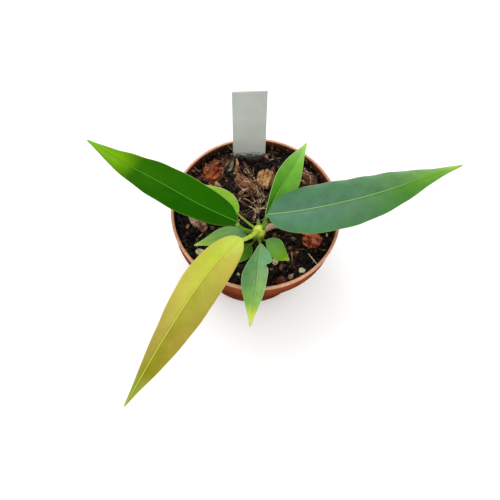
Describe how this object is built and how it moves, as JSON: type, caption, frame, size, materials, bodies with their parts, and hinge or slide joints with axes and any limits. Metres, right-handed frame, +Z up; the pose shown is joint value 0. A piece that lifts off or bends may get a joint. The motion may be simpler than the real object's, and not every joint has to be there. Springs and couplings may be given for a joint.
{
  "type": "potted anthurium wendlingeri",
  "caption": "Young aroid with long strap-shaped leaves in a small terracotta-coloured plastic nursery pot of bark mix, with a blank plant label.",
  "frame": {"origin": "centre of the pot's base, on the surface it stands on", "axes": "+Z up; -Y towards the front, where the small notched leaf hangs over the rim; +X to the right, along the largest leaf; the label stands at the back, +Y"},
  "size_m": [0.1759, 0.1381, 0.092],
  "materials": {
    "pot_plastic": "thin moulded plastic in terracotta colour, satin outside",
    "soil": "dark, moist, coarse peat and bark mix",
    "stem": "fresh light-green stem",
    "sheath": "thin pale scale leaf",
    "aerial_root": "beige-pink fleshy root, matt",
    "leaf_deep": "bright deep-green blade, softly glossy, pale margin",
    "leaf_blue": "dark bluish-green blade, satin sheen, yellow-green tip",
    "leaf_new": "new olive-yellow blade, satin, bright midrib",
    "leaf_mid": "mid-green young blade, satin, pale margin",
    "label_plastic": "pale grey-white plastic, smooth, satin",
    "bark": "broken pine bark, rough, reddish brown to tan",
    "charcoal": "black, broken, matt",
    "perlite": "cream, crumbly, matt",
    "dry_fibre": "dry light-brown fibre, matt"
  },
  "bodies": {
    "root": {"pot": "pot_plastic", "soil": "soil", "stem": "stem", "stem_sheath": "sheath", "aerial_root": "aerial_root", "leaf_left": "leaf_deep", "leaf_right": "leaf_blue", "leaf_new": "leaf_new", "leaf_back": "leaf_mid", "leaf_front": "leaf_mid", "leaf_small_right": "leaf_mid", "leaf_small_left": "leaf_blue", "leaf_under_left": "leaf_mid", "leaf_under_new": "leaf_mid", "label": "label_plastic", "bark_red": "bark", "bark_brown": "bark", "bark_tan": "bark", "bark_mossy": "bark", "bark_dark_left": "bark", "bark_small_tan": "bark", "bark_long_pink": "bark", "bark_orange": "bark", "bark_front": "bark", "bark_back_right": "bark", "bark_right": "bark", "bark_mid_right": "bark", "bark_left": "bark", "bark_front_left": "bark", "bark_mid_left": "bark", "charcoal": "charcoal", "charcoal_back": "charcoal", "perlite_left": "perlite", "perlite_front": "perlite", "perlite_right": "perlite", "perlite_small": "perlite", "perlite_back": "perlite", "dry_roots": "dry_fibre", "dry_stalk_back": "dry_fibre", "dry_stalk_right": "dry_fibre"}
  },
  "joints": []
}
